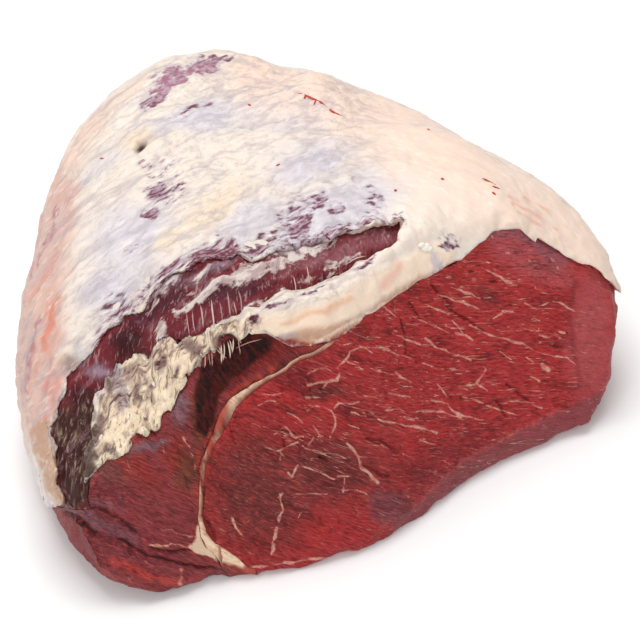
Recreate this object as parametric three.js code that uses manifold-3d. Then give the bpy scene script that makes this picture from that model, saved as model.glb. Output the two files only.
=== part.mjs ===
// Raw beef topside: the whole inside muscle of a beef leg with its cap left on, lying on its flat
// underside. It is built as the meat is cut. One rounded uncut form is worked out first. The fat
// cover, the cap muscle and the lean are layers of that form, a long knife cut along the front bares
// the red grain, and a seam of fat parts the main muscle from the smaller one at the left.
// Millimetres, +Z up, +X to the right along the front, +Y to the back. The origin is the middle of
// the box that holds the meat, on the surface that it lies on.
import * as THREE from "three";
import { mergeVertices } from "three/addons/utils/BufferGeometryUtils.js";
import Module from "manifold-3d";

const wasm = await Module();
wasm.setup();

const GAP = 0.3; // between neighbouring layers

// The uncut form seen from above, anticlockwise from its right end. Its front is the waste that the
// knife takes off.
const UNCUT_OUTLINE = [
  [180, 16], [170, 55], [134, 89], [95, 122], [40, 161], [-18, 187], [-70, 192], [-115, 173],
  [-145, 127], [-158, 44], [-161, -46], [-147, -98], [-128, -137], [-100, -164], [-52, -173],
  [2, -174], [60, -156], [112, -118], [160, -74], [176, -26],
];
const GIRTH_HEIGHT = 46; // where the form is widest
const CROWN_HEIGHT = 142;
const CROWN_FULLNESS = 2.7; // 2 is an ellipse from girth to crown, more is squarer
const SOLE_FULLNESS = 5;
const SOLE_DEPTH = 7; // how far the round underside would reach below the surface that it lies on

// Rises and dips of the crown: where they are, how far they spread, how high they are.
const CROWN_SWELLS = [
  { x: -30, y: -50, wide: 60, deep: 50, rise: 5 },
  { x: 34, y: -62, wide: 38, deep: 40, rise: -13 },
  { x: -100, y: 140, wide: 60, deep: 60, rise: 9 },
  { x: -48, y: 168, wide: 22, deep: 26, rise: 9 },
  { x: 10, y: -110, wide: 50, deep: 30, rise: -8 },
  { x: 104, y: 14, wide: 34, deep: 34, rise: 7 },
  { x: 92, y: -10, wide: 20, deep: 26, rise: -13 },
  { x: -84, y: 150, wide: 17, deep: 40, rise: 10 },
  { x: 10, y: 130, wide: 18, deep: 50, rise: 9 },
  { x: 170, y: -10, wide: 60, deep: 60, rise: -32 },
  { x: -130, y: -120, wide: 60, deep: 70, rise: -46 },
  { x: -74, y: -108, wide: 24, deep: 26, rise: -27 },
];

// Slow folds all over the fat: which way they follow one another, from crest to crest, how high.
const FOLDS = [
  { heading: 118, length: 64, height: 1.1 },
  { heading: 76, length: 47, height: 0.8 },
  { heading: 20, length: 83, height: 0.9 },
];
// Small dents: where, how wide, how deep.
const DENTS = [
  { at: new THREE.Vector3(-142, 66, 104), wide: 11, deep: 5 },
  { at: new THREE.Vector3(-136, -20, 96), wide: 14, deep: 3 },
];

// The knife cut along the front: its lower edge from left to right, its heading from +X, and how far
// it leans back from upright.
const KNIFE_LINE = [
  [-137, -168], [-107, -166], [-70, -160], [-41, -148], [-17, -145], [11, -137], [43, -124],
  [67, -104], [91, -81], [113, -65], [137, -52], [163, -40], [203, -22],
];
const KNIFE_HEADING = THREE.MathUtils.degToRad(31.5);
const KNIFE_LEAN = THREE.MathUtils.degToRad(27.5);
const HEEL_HEIGHT = 10; // below this the front stands upright, under the lower edge of the cut
const HEEL_DEPTH = 1; // how far it draws in again at its foot

// Places on the slope that faces forward and up: X, and the height measured up a 45 degree slope.
const CAP_WINDOW = {
  // where the fat has been pulled off the cap muscle, a long slot that runs out at the knife cut
  upper: [
    [52, 92], [20, 84], [-20, 73], [-56, 68], [-83, 51], [-106, 31], [-125, 9], [-133, -20],
    [-130, -46], [-124, -76],
  ],
  lower: [
    [-112, -60], [-114, -42], [-113, -20], [-110, -1], [-102, 13], [-88, 22], [-67, 29], [-47, 36],
    [-24, 47], [11, 60], [33, 70], [50, 82],
  ],
};
const FAT_FRONT_EDGE = [
  [-176, -78], [-131, -60], [-112, -47], [-98, -32], [-85, -22], [-73, -11], [-62, 6], [-57, 16],
  [-44, 26], [-27, 30],
];
// Below this line the right end of the lean is bare.
const BARE_END_LINE = [
  [128, 86], [138, 79], [146, 74], [153, 71], [160, 70], [167, 66], [173, 61], [182, 52], [210, 24],
];
const RIDGE_LINE = [[-30, 33], [-7, 37], [14, 43], [35, 54], [55, 66], [76, 75]];
const RIDGE_HALF_WIDTH = 15;
const RIDGE_RISE = 5;
const RIDGE_FAT = 18; // extra depth of fat under the ridge

const FAT_THIN = 3; // membrane over the cap muscle
const FAT_COVER = 5.5; // fat over the right half
const FAT_RIM = 3; // fat along the right half of the knife cut
const FAT_HEM = 13; // the fat ends this high above the surface that the meat lies on

const CAP_THICK = 14;
const CAP_RIGHT_END = 66;
const CAP_UNDER_RIDGE = 8; // how far it runs on under the strip of fat in front of it
const CAP_HEM = 18;

// The seam between the two muscles, as places on the knife cut: along it, and up it.
const SEAM_FOOT = new THREE.Vector3(-56, -152, 0);
const SEAM_INWARD = new THREE.Vector3(-0.45, 0.8, 0.4).normalize();
const SEAM_LINE = [
  [40, -300], [30, -60], [16, 14], [10, 30], [10, 42], [14, 55], [19, 74], [25, 88], [31, 99],
  [40, 114], [50, 123], [66, 131], [82, 139], [98, 143], [120, 150],
];
const SEAM_THICK = 2.2;
const SEAM_KNOT = { up: 112, spread: 12, thick: 2.2 };
const SEAM_WEDGE = { up: 6, spread: 18, thick: 14 };

const FINISH = {
  fat: { color: 0xe9d9c6, roughness: 0.55 },
  cap: { color: 0x5c2733, roughness: 0.5 },
  lean: { color: 0x9c2b33, roughness: 0.42 },
  side: { color: 0x83303a, roughness: 0.45 },
  seam: { color: 0xead2b4, roughness: 0.55 },
};

const { lerp, smoothstep } = THREE.MathUtils;
const flat = (points) => points.map(([x, y]) => new THREE.Vector2(x, y));
const spline = (points, steps) => new THREE.SplineCurve(flat(points)).getPoints(steps);

// A closed curve round the origin, as a radius for each heading.
function radiusByHeading(points, steps = 720) {
  const corners = points.map(([x, y]) => new THREE.Vector3(x, y, 0));
  const ring = new THREE.CatmullRomCurve3(corners, true).getPoints(steps).slice(0, steps)
    .map((p) => ({ heading: Math.atan2(p.y, p.x), radius: Math.hypot(p.x, p.y) }))
    .sort((a, b) => a.heading - b.heading);
  const turn = 2 * Math.PI;
  return (heading) => {
    const next = Math.max(0, ring.findIndex((p) => p.heading > heading));
    const a = ring[(next + steps - 1) % steps];
    const b = ring[next];
    const span = (b.heading - a.heading + turn) % turn || 1;
    return lerp(a.radius, b.radius, ((heading - a.heading + turn) % turn) / span);
  };
}

const rimRadius = radiusByHeading(UNCUT_OUTLINE);

function crownHeight(x, y) {
  return CROWN_SWELLS.reduce(
    (height, s) =>
      height + s.rise * Math.exp(-(((x - s.x) / s.wide) ** 2) - ((y - s.y) / s.deep) ** 2),
    CROWN_HEIGHT,
  );
}

// The point of the uncut form that lies in a direction from its middle.
function formPoint(direction) {
  const heading = Math.atan2(direction.y, direction.x);
  const lift = Math.abs(direction.z);
  const across = Math.sqrt(Math.max(0, 1 - lift * lift));
  const power = 2 / (direction.z > 0 ? CROWN_FULLNESS : SOLE_FULLNESS);
  const reach = rimRadius(heading) * across ** power;
  const x = reach * Math.cos(heading);
  const y = reach * Math.sin(heading);
  const end = direction.z > 0 ? crownHeight(x, y) : -SOLE_DEPTH;
  return new THREE.Vector3(x, y, lerp(GIRTH_HEIGHT, end, lift ** power));
}

// How far the surface stands out or in at a point, before any layer is taken off.
function relief(p) {
  const folds = FOLDS.reduce((sum, { heading, length, height }) => {
    const turn = THREE.MathUtils.degToRad(heading);
    const along = p.x * Math.cos(turn) + p.y * Math.sin(turn) - 0.6 * p.z;
    return sum + height * Math.sin((2 * Math.PI * along) / length);
  }, 0);
  const dents = DENTS.reduce(
    (sum, { at, wide, deep }) => sum + deep * Math.exp(-((p.distanceTo(at) / wide) ** 2)), 0,
  );
  return folds * smoothstep(p.z, 15, 60) - dents;
}

const slopeUp = (p) => (p.y + p.z) * Math.SQRT1_2;
const facing = (n) => smoothstep((n.z - n.y) * Math.SQRT1_2, 0.15, 0.5);

const ridgeCurve = spline(RIDGE_LINE, 24);

// How much a point of the surface belongs to the ridge of fat along the knife cut, 0 to 1.
function ridge(p, n) {
  const place = new THREE.Vector2(p.x, slopeUp(p));
  const away = Math.min(...ridgeCurve.map((q) => q.distanceTo(place)));
  const ends = smoothstep(p.x, -44, -4) * (1 - smoothstep(p.x, 76, 108));
  return Math.exp(-((away / RIDGE_HALF_WIDTH) ** 2)) * ends * facing(n);
}

function fatThickness(p, n) {
  const cover = lerp(FAT_THIN, FAT_COVER, smoothstep(p.x, -60, 60));
  const rim = smoothstep(p.x, 80, 100) * smoothstep(p.x * Math.tan(KNIFE_HEADING) - p.y, 20, 50);
  return lerp(cover, FAT_RIM, rim) + RIDGE_FAT * ridge(p, n);
}

function positionOnly(geometry) {
  const g = geometry.clone();
  g.deleteAttribute("normal");
  g.deleteAttribute("uv");
  return mergeVertices(g, 1e-4);
}

// Moves every vertex along its normal by what move(point, normal) gives.
function displaced(geometry, move) {
  geometry.computeVertexNormals();
  const { position, normal } = geometry.attributes;
  const p = new THREE.Vector3();
  const n = new THREE.Vector3();
  for (let i = 0; i < position.count; i++) {
    p.fromBufferAttribute(position, i);
    n.fromBufferAttribute(normal, i);
    p.addScaledVector(n, move(p, n));
    position.setXYZ(i, p.x, p.y, p.z);
  }
  return geometry;
}

// The uncut form with its folds and ridge, and with a skin of the given depth taken off all over.
function form(detail, depth = () => 0) {
  const g = positionOnly(new THREE.IcosahedronGeometry(1, detail));
  const position = g.attributes.position;
  const d = new THREE.Vector3();
  for (let i = 0; i < position.count; i++) {
    d.fromBufferAttribute(position, i).normalize();
    position.setXYZ(i, ...formPoint(d));
  }
  displaced(g, (p, n) => relief(p) + RIDGE_RISE * ridge(p, n) - depth(p, n));
  return solid(g);
}

function solid(geometry) {
  const g = positionOnly(geometry);
  return new wasm.Manifold(new wasm.Mesh({
    numProp: 3,
    vertProperties: new Float32Array(g.attributes.position.array),
    triVerts: new Uint32Array(g.index.array),
  }));
}

// A flat outline drawn in a frame of three axes, made thick along the third from one depth to another.
function slab(outline, [across, up, out], origin, from, to) {
  const g = new THREE.ExtrudeGeometry(new THREE.Shape(outline), {
    depth: to - from,
    bevelEnabled: false,
  });
  g.translate(0, 0, from);
  g.applyMatrix4(new THREE.Matrix4().makeBasis(across, up, out).setPosition(origin));
  return solid(g);
}

const X = new THREE.Vector3(1, 0, 0);
const SLOPE = [X, new THREE.Vector3(0, 1, 1).normalize(), new THREE.Vector3(0, -1, 1).normalize()];
const ORIGIN = new THREE.Vector3();

// A cut through the skin of the front slope only.
const slopeCut = (outline) => slab(outline, SLOPE, ORIGIN, 60, 260);

// A torn edge: a smooth line through the points, drawn in and out by small uneven steps.
function frayed(points, steps, tear) {
  const curve = new THREE.SplineCurve(flat(points));
  return Array.from({ length: steps + 1 }, (_, i) => {
    const along = curve.getTangent(i / steps);
    const ends = Math.min(1, i / 3, (steps - i) / 3);
    const pull = tear * ends * (Math.sin(i * 2.3) + 0.7 * Math.sin(i * 1.1 + 2)) / 1.7;
    return curve.getPoint(i / steps).add(new THREE.Vector2(-along.y, along.x).multiplyScalar(pull));
  });
}

function below(top) {
  return solid(new THREE.BoxGeometry(600, 600, 200).translate(0, 0, top - 100));
}

// The part of the form that the cap muscle lies over, seen along the slope, made larger all round
// by a margin.
function capBlock(margin) {
  const curve = new THREE.SplineCurve(flat(CAP_WINDOW.lower));
  const front = Array.from({ length: 25 }, (_, i) => {
    const along = curve.getTangent(i / 24);
    const under = CAP_UNDER_RIDGE * smoothstep(i, 0, 8) + margin;
    return curve.getPoint(i / 24).add(new THREE.Vector2(along.y, -along.x).multiplyScalar(under));
  });
  const right = CAP_RIGHT_END + margin;
  return slab([
    new THREE.Vector2(-260, front[0].y - margin), new THREE.Vector2(front[0].x, front[0].y - margin),
    ...front, new THREE.Vector2(right, front[24].y + 10), new THREE.Vector2(right, 300),
    new THREE.Vector2(-260, 300),
  ], SLOPE, ORIGIN, -300, 260);
}

// The room in front of the knife line. Its edge stands in from the line by an inset at the height of
// the surface that the meat lies on, and leans back as it rises.
function inFrontOfKnife(inset, lean, from, to) {
  const inward = new THREE.Vector2(-Math.sin(KNIFE_HEADING), Math.cos(KNIFE_HEADING));
  const outline = [
    ...spline(KNIFE_LINE, 40), new THREE.Vector2(300, -300), new THREE.Vector2(-140, -300),
  ].map((p) => p.addScaledVector(inward, inset));
  const back = inward.clone().multiplyScalar(Math.tan(lean));
  const rise = new THREE.Vector3(back.x, back.y, 1);
  return slab(outline, [X, new THREE.Vector3(0, 1, 0), rise], ORIGIN, from, to);
}

// The seam's centre line with its half thickness and the way across it at each place.
function seamStations(steps = 44) {
  const curve = new THREE.SplineCurve(flat(SEAM_LINE));
  return Array.from({ length: steps + 1 }, (_, i) => {
    const t = i / steps;
    const place = curve.getPoint(t);
    const along = curve.getTangent(t);
    const extra = ({ up, spread, thick }) => thick * Math.exp(-(((place.y - up) / spread) ** 2));
    const half = (SEAM_THICK + extra(SEAM_KNOT)) / 2;
    return {
      place,
      right: new THREE.Vector2(along.y, -along.x),
      leftOf: half,
      rightOf: half + extra(SEAM_WEDGE),
    };
  });
}

const seamEdge = (stations, toRight) =>
  stations.map((s) => s.place.clone().addScaledVector(s.right, toRight(s)));

function seamSlab(outline) {
  const along = new THREE.Vector3(Math.cos(KNIFE_HEADING), Math.sin(KNIFE_HEADING), 0);
  const up = new THREE.Vector3(
    -Math.sin(KNIFE_HEADING) * Math.sin(KNIFE_LEAN),
    Math.cos(KNIFE_HEADING) * Math.sin(KNIFE_LEAN),
    Math.cos(KNIFE_LEAN),
  );
  return slab(outline, [along, up, SEAM_INWARD.clone().negate()], SEAM_FOOT, -320, 90);
}

// Everything on the left of an edge of the seam.
function leftOfSeam(edge) {
  const first = edge[0];
  const last = edge[edge.length - 1];
  return seamSlab([
    ...edge, new THREE.Vector2(last.x, 420), new THREE.Vector2(-260, 420),
    new THREE.Vector2(-260, first.y),
  ]);
}

function named(name, body, finish) {
  const { vertProperties, triVerts } = body.getMesh();
  const g = new THREE.BufferGeometry();
  g.setAttribute("position", new THREE.BufferAttribute(vertProperties, 3));
  g.setIndex(new THREE.BufferAttribute(triVerts, 1));
  g.computeVertexNormals();
  const mesh = new THREE.Mesh(g, new THREE.MeshStandardMaterial({ ...finish, metalness: 0 }));
  mesh.name = name;
  return mesh;
}

const waste = inFrontOfKnife(0, KNIFE_LEAN, -20, 240);
const heelWaste = inFrontOfKnife(
  HEEL_HEIGHT * Math.tan(KNIFE_LEAN) + HEEL_DEPTH, -Math.atan2(HEEL_DEPTH, HEEL_HEIGHT), -20,
  HEEL_HEIGHT,
);
const trim = (body) => body.subtract(below(0)).subtract(waste).subtract(heelWaste);

const whole = trim(form(14));
const underFat = trim(form(10, fatThickness));
const underFatClear = form(10, (p, n) => fatThickness(p, n) - GAP);
const underCap = form(6, (p, n) => fatThickness(p, n) + CAP_THICK);
const underCapClear = form(6, (p, n) => fatThickness(p, n) + CAP_THICK - GAP);

const capWindow = slopeCut([
  ...frayed(CAP_WINDOW.upper, 48, 2.4), ...frayed(CAP_WINDOW.lower, 44, 2.4),
]);
const bareEnd = slab(
  [...spline(BARE_END_LINE, 12), new THREE.Vector2(210, -200), new THREE.Vector2(128, -200)],
  SLOPE, ORIGIN, 2, 200,
);
const fatFront = slopeCut([
  ...frayed(FAT_FRONT_EDGE, 40, 2.4), new THREE.Vector2(-27, -260), new THREE.Vector2(-176, -260),
]);
const fatCap = whole.subtract(underFatClear).subtract(below(FAT_HEM)).subtract(capWindow)
  .subtract(fatFront).subtract(bareEnd);

const capMuscle = underFat.subtract(underCapClear).intersect(capBlock(0))
  .subtract(below(CAP_HEM));
const capRoom = form(10, () => -5).subtract(underCap).intersect(capBlock(GAP))
  .subtract(below(CAP_HEM - GAP));
const lean = underFat.subtract(capRoom);

const stations = seamStations();
const seamFat = lean.intersect(seamSlab([
  ...seamEdge(stations, (s) => s.rightOf), ...seamEdge(stations, (s) => -s.leftOf).reverse(),
]));
const leanSide = lean.intersect(leftOfSeam(seamEdge(stations, (s) => -s.leftOf - GAP)));
const leanMain = lean.subtract(leftOfSeam(seamEdge(stations, (s) => s.rightOf + GAP)));

const meat = new THREE.Group();
meat.add(named("fat_cap", fatCap, FINISH.fat));
meat.add(named("cap_muscle", capMuscle, FINISH.cap));
meat.add(named("lean_main", leanMain, FINISH.lean));
meat.add(named("lean_side", leanSide, FINISH.side));
meat.add(named("seam_fat", seamFat, FINISH.seam));

// The form was drawn round the middle of the uncut muscle, so it moves to the middle of its box.
const middle = new THREE.Box3().setFromObject(meat).getCenter(new THREE.Vector3());
meat.position.set(-middle.x, -middle.y, 0);

const topside = new THREE.Group();
topside.add(meat);

export default topside;
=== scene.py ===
import bpy
import numpy as np
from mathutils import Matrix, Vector
from mathutils.bvhtree import BVHTree


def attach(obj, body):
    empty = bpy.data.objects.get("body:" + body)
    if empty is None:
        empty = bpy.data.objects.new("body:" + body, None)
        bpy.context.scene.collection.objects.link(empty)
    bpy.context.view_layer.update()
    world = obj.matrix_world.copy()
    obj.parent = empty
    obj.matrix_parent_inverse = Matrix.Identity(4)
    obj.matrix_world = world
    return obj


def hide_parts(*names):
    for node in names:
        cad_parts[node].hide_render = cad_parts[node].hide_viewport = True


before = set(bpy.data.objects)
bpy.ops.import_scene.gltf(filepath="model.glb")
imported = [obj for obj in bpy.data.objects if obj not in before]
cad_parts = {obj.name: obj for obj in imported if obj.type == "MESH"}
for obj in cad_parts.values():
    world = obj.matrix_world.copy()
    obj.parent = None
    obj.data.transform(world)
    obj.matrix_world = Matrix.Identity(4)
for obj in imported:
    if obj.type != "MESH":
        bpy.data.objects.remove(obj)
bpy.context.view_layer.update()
MM = 0.001

# The photographer's viewpoint: square on to the knife cut's side of the table, half way up to straight
# overhead, through a long lens. What is read off the photograph is a pixel of its 640 x 640 frame and
# is found on the meat by its sight line.
PHOTO_SIDE = 640
FOCAL = 2116.0
FILM_WIDTH = 36
CAMERA_AWAY = 1.2
AIM = np.array((-0.7, -21.5, 60.0)) * MM
SIGHT_UP = np.array((0.0, 1.0, 1.0)) / np.sqrt(2)
SIGHT_BACK = np.array((0.0, -1.0, 1.0)) / np.sqrt(2)
EYE = AIM + CAMERA_AWAY * SIGHT_BACK


def seen_at(points):
    """The pixel of the photograph, right and down, that each point falls on."""
    away = points - EYE
    depth = -(away @ SIGHT_BACK)
    across = PHOTO_SIDE / 2 + FOCAL * away[:, 0] / depth
    down = PHOTO_SIDE / 2 - FOCAL * (away @ SIGHT_UP) / depth
    return np.stack((across, down), 1)


camera_data = bpy.data.cameras.new("photo_camera")
camera_data.sensor_width = FILM_WIDTH
camera_data.lens = FOCAL / PHOTO_SIDE * FILM_WIDTH
camera = bpy.data.objects.new("photo_camera", camera_data)
camera.location = EYE
camera.rotation_mode = "QUATERNION"
camera.rotation_quaternion = Vector(-SIGHT_BACK).to_track_quat("-Z", "Y")
bpy.context.scene.collection.objects.link(camera)
bpy.context.scene.camera = camera

# The main muscle is the big solid block of red lean. The knife went across it in one pull, so its
# front is a slope of short cut fibres, crimson where air has reached it and browner low at the left,
# with threads of marbling. It holds everything else and lies on its own flat underside.
WELD = 0.001 * MM


def solid_of(name):
    """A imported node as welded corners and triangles."""
    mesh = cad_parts[name].data
    mesh.calc_loop_triangles()
    corners = np.zeros(len(mesh.vertices) * 3)
    mesh.vertices.foreach_get("co", corners)
    corners = corners.reshape(-1, 3)
    tris = np.zeros(len(mesh.loop_triangles) * 3, np.int64)
    mesh.loop_triangles.foreach_get("vertices", tris)
    grid = np.round(corners / WELD).astype(np.int64)
    _, first, place = np.unique(grid, axis=0, return_index=True, return_inverse=True)
    tris = place.reshape(-1)[tris].reshape(-1, 3)
    whole = (tris[:, 0] != tris[:, 1]) & (tris[:, 1] != tris[:, 2]) & (tris[:, 0] != tris[:, 2])
    return corners[first], tris[whole]


solids = {name: solid_of(name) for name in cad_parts}


def joined(meshes):
    """Several meshes, each of points and triangles, as one."""
    starts = np.cumsum([0] + [len(points) for points, _ in meshes[:-1]])
    return (np.concatenate([points for points, _ in meshes]),
            np.concatenate([tris + start for (_, tris), start in zip(meshes, starts)]))


def tree_of(meshes):
    """One search tree over several meshes."""
    points, tris = joined(meshes)
    return BVHTree.FromPolygons(points.tolist(), tris.tolist())


def clear_of(points, tree, limit):
    """How far each point is from a tree, up to a limit."""
    away = np.full(len(points), limit)
    for i, point in enumerate(points.tolist()):
        hit = tree.find_nearest(point, limit)[3]
        if hit is not None:
            away[i] = hit
    return away


def ease(value, low, high):
    """0 below low, 1 above high, and a smooth rise between them."""
    t = np.clip((value - low) / (high - low), 0, 1)
    return t * t * (3 - 2 * t)


TOO_LONG = 1.35


def split_long(points, tris, wanted):
    """Halves every edge that is much longer than its ends want, and cuts its two triangles to match."""
    edges = np.sort(tris[:, [0, 1, 1, 2, 2, 0]].reshape(-1, 2), axis=1)
    count = len(points)
    edges, place = np.unique(edges[:, 0] * count + edges[:, 1], return_inverse=True)
    a, b = edges // count, edges % count
    length = np.linalg.norm(points[a] - points[b], axis=1)
    long = length > TOO_LONG * np.minimum(wanted[a], wanted[b])
    middle = np.full(len(edges), -1)
    middle[long] = count + np.arange(long.sum())
    points = np.concatenate((points, (points[a[long]] + points[b[long]]) / 2))
    m = middle[place.reshape(-1)].reshape(-1, 3)
    halved = (m >= 0).sum(1)
    made = [tris[halved == 0]]
    t, n = tris[halved == 3], m[halved == 3]
    for corners in ((t[:, 0], n[:, 0], n[:, 2]), (n[:, 0], t[:, 1], n[:, 1]),
                    (n[:, 2], n[:, 1], t[:, 2]), (n[:, 0], n[:, 1], n[:, 2])):
        made.append(np.stack(corners, 1))
    for turn in range(3):
        order = [turn, (turn + 1) % 3, (turn + 2) % 3]
        one = (halved == 1) & (m[:, turn] >= 0)
        t, n = tris[one][:, order], m[one][:, order]
        made.append(np.stack((t[:, 0], n[:, 0], t[:, 2]), 1))
        made.append(np.stack((n[:, 0], t[:, 1], t[:, 2]), 1))
        two = (halved == 2) & (m[:, order[2]] < 0)
        t, n = tris[two][:, order], m[two][:, order]
        made.append(np.stack((n[:, 0], t[:, 1], n[:, 1]), 1))
        made.append(np.stack((t[:, 0], n[:, 0], n[:, 1]), 1))
        made.append(np.stack((t[:, 0], n[:, 1], t[:, 2]), 1))
    return points, np.concatenate(made), int(long.sum())


DRAWN_IN = 0.5
PUSHED_OUT = -0.52


def relaxed(points, tris, freedom, rounds):
    """Evens the facets out where points are free: each round draws every point half way to the middle
    of its neighbours and then pushes it back a little further, so that the block keeps its size."""
    count = len(points)
    edges = np.sort(tris[:, [0, 1, 1, 2, 2, 0]].reshape(-1, 2), axis=1)
    edges = np.unique(edges[:, 0] * count + edges[:, 1])
    a, b = edges // count, edges % count
    around = np.bincount(a, minlength=count) + np.bincount(b, minlength=count)
    for _ in range(rounds):
        for share in (DRAWN_IN, PUSHED_OUT):
            middle = np.stack([
                np.bincount(a, points[b, k], count) + np.bincount(b, points[a, k], count)
                for k in range(3)], 1) / around[:, None]
            points = points + share * freedom[:, None] * (middle - points)
    return points


def normals_of(points, tris):
    """Outward normals at the points."""
    faces = np.cross(points[tris[:, 1]] - points[tris[:, 0]], points[tris[:, 2]] - points[tris[:, 0]])
    out = np.zeros_like(points)
    for corner in range(3):
        for k in range(3):
            out[:, k] += np.bincount(tris[:, corner], faces[:, k], len(points))
    return out / np.maximum(np.linalg.norm(out, axis=1), 1e-12)[:, None]


BURIED = 0.7 * MM
HIDDEN_EDGE = 14 * MM
MOST_PASSES = 6
FEW_CUTS = 50


def fleshed(name, stages, pinned, loose):
    """A node's surface in fine triangles where it is in the open, with the facets evened out.

    Each stage is the length of a triangle's edge, or a function that gives it, and the rounds of
    evening out. Nearer than pinned to another layer nothing moves, and beyond loose all does."""
    points, tris = solids[name]
    others = tree_of([solids[other] for other in solids if other != name])
    for edge, rounds in stages:
        for _ in range(MOST_PASSES):
            open_air = clear_of(points, others, loose)
            wanted = edge(points) if callable(edge) else edge
            wanted = np.where(open_air > BURIED, wanted, HIDDEN_EDGE)
            points, tris, cuts = split_long(points, tris, wanted)
            if cuts < FEW_CUTS:
                break
        open_air = clear_of(points, others, loose)
        points = relaxed(points, tris, ease(open_air, pinned, loose), rounds)
    return points, tris, clear_of(points, others, loose)


ALONG = (1, 0, 0)
ACROSS = (0, 1, 0)


def grain(points, axis, length, width, octaves, seed):
    """Noise from -1 to 1 that is drawn out along an axis, from values that are scattered over the
    cells of a grid by multiplying and folding the cells' own numbers."""
    axis = np.array(axis) / np.linalg.norm(axis)
    along = points @ axis
    p = (points - along[:, None] * axis) / width + (along / length)[:, None] * axis
    total, weight = np.zeros(len(points)), 0
    for octave in range(octaves):
        q = p * 2 ** octave + 17.3 * octave + 5.1 * seed
        cell = np.floor(q).astype(np.int64)
        f = q - cell
        f = f * f * (3 - 2 * f)
        level = np.zeros(len(points))
        for corner in np.ndindex(2, 2, 2):
            c = cell + corner
            h = (c[:, 0] * 73856093) ^ (c[:, 1] * 19349663) ^ (c[:, 2] * 83492791) ^ (seed * 91193)
            h = ((h ^ (h >> 13)) * 60493) & 0xFFFFF
            h = ((h ^ (h >> 7)) * 48271) & 0xFFFF
            level += np.prod(np.where(corner, f, 1 - f), axis=1) * (h / 32767.5 - 1)
        total += level * 0.5 ** octave
        weight += 0.5 ** octave
    return total / weight * 1.5


def clouds(points, size, octaves, seed):
    """Noise from -1 to 1 of one size every way."""
    return grain(points, ALONG, size, size, octaves, seed)


def piece(name, points, tris, masks, material):
    """A mesh object with smooth faces, one value a point for each named mask, and a material."""
    mesh = bpy.data.meshes.new(name)
    mesh.vertices.add(len(points))
    mesh.vertices.foreach_set("co", points.astype(np.float32).ravel())
    mesh.loops.add(len(tris) * 3)
    mesh.loops.foreach_set("vertex_index", tris.astype(np.int32).ravel())
    mesh.polygons.add(len(tris))
    mesh.polygons.foreach_set("loop_start", np.arange(0, len(tris) * 3, 3, dtype=np.int32))
    mesh.update(calc_edges=True)
    mesh.shade_smooth()
    for mask, values in masks.items():
        kind, field = {1: ("FLOAT", "value"), 3: ("FLOAT_VECTOR", "vector"),
                       4: ("FLOAT_COLOR", "color")}[values.size // len(points)]
        layer = mesh.attributes.new(mask, kind, "POINT")
        layer.data.foreach_set(field, values.astype(np.float32).ravel())
    mesh.materials.append(material)
    made = bpy.data.objects.new(name, mesh)
    bpy.context.scene.collection.objects.link(made)
    return made


def rgb(text):
    """A colour written as it looks on a screen, in the renderer's own linear values."""
    parts = [int(text[i:i + 2], 16) / 255 for i in (0, 2, 4)]
    return (*[c / 12.92 if c < 0.04045 else ((c + 0.055) / 1.055) ** 2.4 for c in parts], 1.0)


def add(tree, kind, settings=None, **inputs):
    """A shader node: its settings, and for each input a value or the socket that feeds it."""
    made = tree.nodes.new(kind)
    for key, value in (settings or {}).items():
        setattr(made, key, value)
    for key, value in inputs.items():
        socket = made.inputs[int(key[1:])] if key[0] == "i" and key[1:].isdigit() else made.inputs[key]
        if isinstance(value, bpy.types.NodeSocket):
            tree.links.new(value, socket)
        else:
            socket.default_value = value
    return made


def maths(operation, a, b=0.0):
    """A sum, product or the like of two values, at least one of which comes from a node."""
    tree = (a if isinstance(a, bpy.types.NodeSocket) else b).id_data
    return add(tree, "ShaderNodeMath", {"operation": operation}, i0=a, i1=b).outputs[0]


def times(a, b):
    """The product of two values."""
    return maths("MULTIPLY", a, b)


def plus(a, b):
    """The sum of two values."""
    return maths("ADD", a, b)


def blend(share, a, b):
    """Colour a where the share is 0 and colour b where it is 1."""
    return add(share.id_data, "ShaderNodeMix", {"data_type": "RGBA"}, i0=share, i6=a, i7=b).outputs[2]


def rise(value, low, high):
    """0 at low, 1 at high, and a smooth rise between them."""
    made = add(value.id_data, "ShaderNodeMapRange", {"interpolation_type": "SMOOTHSTEP"},
               Value=value, i1=low, i2=high, i3=0.0, i4=1.0)
    return made.outputs[0]


def washed(colour, value, low, high, share, shade):
    """A colour with a share of another over it where a value rises from low to high."""
    return blend(times(rise(value, low, high), share), colour, rgb(shade))


def mask_of(tree, name):
    """A mask that is painted on the piece."""
    return add(tree, "ShaderNodeAttribute", {"attribute_name": name}).outputs["Fac"]


def colour_of(tree, name):
    """A colour that is painted on the piece."""
    return add(tree, "ShaderNodeAttribute", {"attribute_name": name}).outputs["Color"]


fibre_noise = bpy.data.node_groups.new("fibre_noise", "ShaderNodeTree")
for label, start in (("Length", 0.02), ("Width", 0.004), ("Detail", 3.0)):
    fibre_noise.interface.new_socket(
        label, in_out="INPUT", socket_type="NodeSocketFloat").default_value = start
fibre_noise.interface.new_socket("Value", in_out="OUTPUT", socket_type="NodeSocketFloat")
given = fibre_noise.nodes.new("NodeGroupInput")
place = add(fibre_noise, "ShaderNodeAttribute", {"attribute_name": "fibre"}).outputs["Vector"]
length, width = given.outputs["Length"], given.outputs["Width"]
cell = add(fibre_noise, "ShaderNodeCombineXYZ", None, i0=length, i1=width,
           i2=maths("MINIMUM", length, width)).outputs[0]
place = add(fibre_noise, "ShaderNodeVectorMath", {"operation": "DIVIDE"}, i0=place, i1=cell).outputs[0]
noise = add(fibre_noise, "ShaderNodeTexNoise", None, Vector=place, Scale=1.0,
            Detail=given.outputs["Detail"], Roughness=0.6)
finished = fibre_noise.nodes.new("NodeGroupOutput")
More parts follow.
